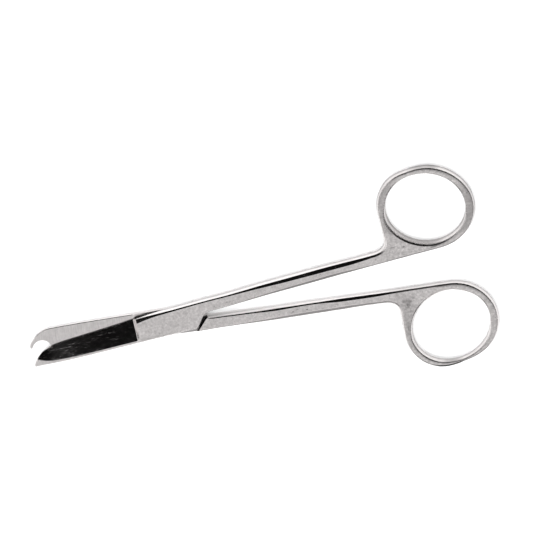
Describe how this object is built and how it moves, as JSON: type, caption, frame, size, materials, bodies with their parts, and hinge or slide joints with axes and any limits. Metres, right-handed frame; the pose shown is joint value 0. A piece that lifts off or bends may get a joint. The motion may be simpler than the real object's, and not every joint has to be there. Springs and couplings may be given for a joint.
{
  "type": "suture scissors",
  "caption": "Slender steel scissors with finger rings, one blunt straight blade and one blade with a small round hook for lifting and cutting a stitch.",
  "frame": {"origin": "bottom centre of the box round the scissors as they lie, a little open", "axes": "tips point to -X and finger rings to +X, the straight-bladed half's ring is on the +Y side, and its face is up, +Z"},
  "size_m": [0.114, 0.0515, 0.004],
  "materials": {
    "satin_steel": "satin, with a polished bevel on the straight blade",
    "screw_steel": "turned and ground"
  },
  "bodies": {
    "front": {"front_half": "satin_steel", "pivot_screw": "screw_steel"},
    "hooked": {"hooked_half": "satin_steel"}
  },
  "joints": [
    {"name": "pivot", "type": "hinge", "parent": "front", "child": "hooked", "pos_m": [-0.02198, 0, 0.002], "axis": [0, 0, -1], "range_deg": [-7.2, 115]}
  ]
}
